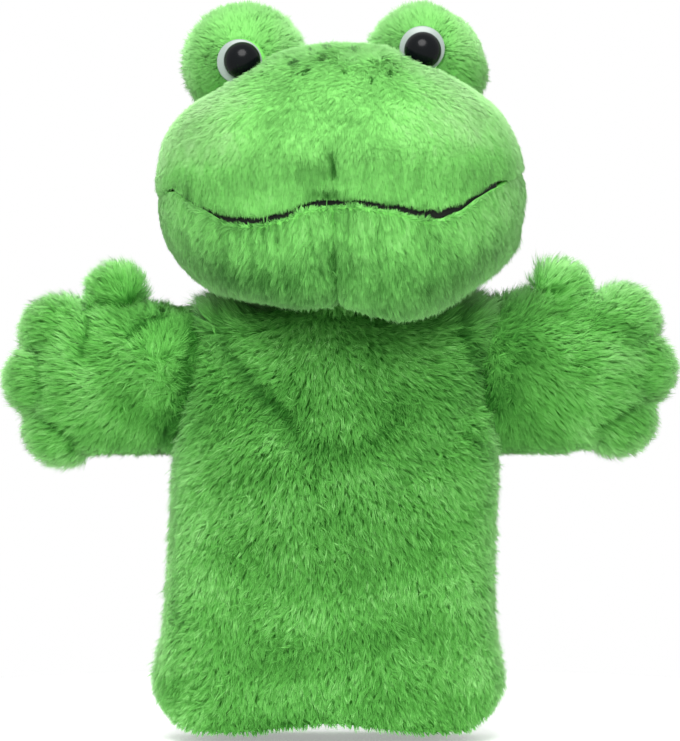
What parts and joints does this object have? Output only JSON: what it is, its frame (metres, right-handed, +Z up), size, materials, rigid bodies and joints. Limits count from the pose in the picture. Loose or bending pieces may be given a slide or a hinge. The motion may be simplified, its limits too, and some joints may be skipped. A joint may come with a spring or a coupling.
{
  "type": "hand puppet",
  "caption": "Plush frog glove puppet: hollow body for the hand, stuffed head with plastic eyes on a soft neck, and mitten arms that swing and clap.",
  "frame": {"origin": "on the puppet's middle line in the hand opening, level with the hem it stands on", "axes": "+Z up from the hem to the eyes, +X towards the arm on the viewer's right, the face looks along -Y"},
  "size_m": [0.2246, 0.0968, 0.2486],
  "materials": {
    "body_plush": "long soft pile, matte",
    "head_plush": "short soft pile, matte",
    "lining": "plain woven lining",
    "filling": "loose fibre filling",
    "trim": "black felt strip",
    "eye_black": "polished",
    "eye_white": "satin",
    "washer": "plain moulded"
  },
  "bodies": {
    "glove": {"body_front": "body_plush", "body_back": "body_plush", "lining_front": "lining", "lining_back": "lining"},
    "neck": {"neck_sleeve": "body_plush"},
    "head": {"head_crown": "head_plush", "head_back": "head_plush", "chin_left": "head_plush", "chin_right": "head_plush", "mouth_trim": "trim", "head_filling": "filling", "finger_pocket": "lining", "left_eye_mound": "head_plush", "right_eye_mound": "head_plush", "left_eye_filling": "filling", "right_eye_filling": "filling", "left_eye": "eye_black", "right_eye": "eye_black", "left_eye_white": "eye_white", "right_eye_white": "eye_white", "left_eye_washer": "washer", "right_eye_washer": "washer"},
    "left_shoulder": {"left_sleeve": "body_plush"},
    "left_arm": {"left_arm_front": "body_plush", "left_arm_back": "body_plush", "left_toe_filling": "filling"},
    "right_shoulder": {"right_sleeve": "body_plush"},
    "right_arm": {"right_arm_front": "body_plush", "right_arm_back": "body_plush", "right_toe_filling": "filling"}
  },
  "joints": [
    {"name": "head_nod", "type": "hinge", "parent": "glove", "child": "neck", "pos_m": [0.002, 0, 0.151], "axis": [1, 0, 0], "range_deg": [-12, 12], "stiffness_Nm_per_rad": 0.6, "deforming": ["neck_sleeve"]},
    {"name": "head_tilt", "type": "hinge", "parent": "neck", "child": "head", "pos_m": [0.002, 0, 0.151], "axis": [0, 1, 0], "range_deg": [-6, 7], "stiffness_Nm_per_rad": 0.6},
    {"name": "left_arm_raise", "type": "hinge", "parent": "glove", "child": "left_shoulder", "pos_m": [-0.058, 0, 0.12], "axis": [0, 1, 0], "range_deg": [-35, 8], "stiffness_Nm_per_rad": 0.15, "deforming": ["left_sleeve"]},
    {"name": "left_arm_clap", "type": "hinge", "parent": "left_shoulder", "child": "left_arm", "pos_m": [-0.058, 0, 0.12], "axis": [0, 0, 1], "range_deg": [-12, 45], "stiffness_Nm_per_rad": 0.15},
    {"name": "right_arm_raise", "type": "hinge", "parent": "glove", "child": "right_shoulder", "pos_m": [0.058, 0, 0.12], "axis": [0, -1, 0], "range_deg": [-35, 8], "stiffness_Nm_per_rad": 0.15, "deforming": ["right_sleeve"]},
    {"name": "right_arm_clap", "type": "hinge", "parent": "right_shoulder", "child": "right_arm", "pos_m": [0.058, 0, 0.12], "axis": [0, 0, -1], "range_deg": [-12, 45], "stiffness_Nm_per_rad": 0.15}
  ]
}
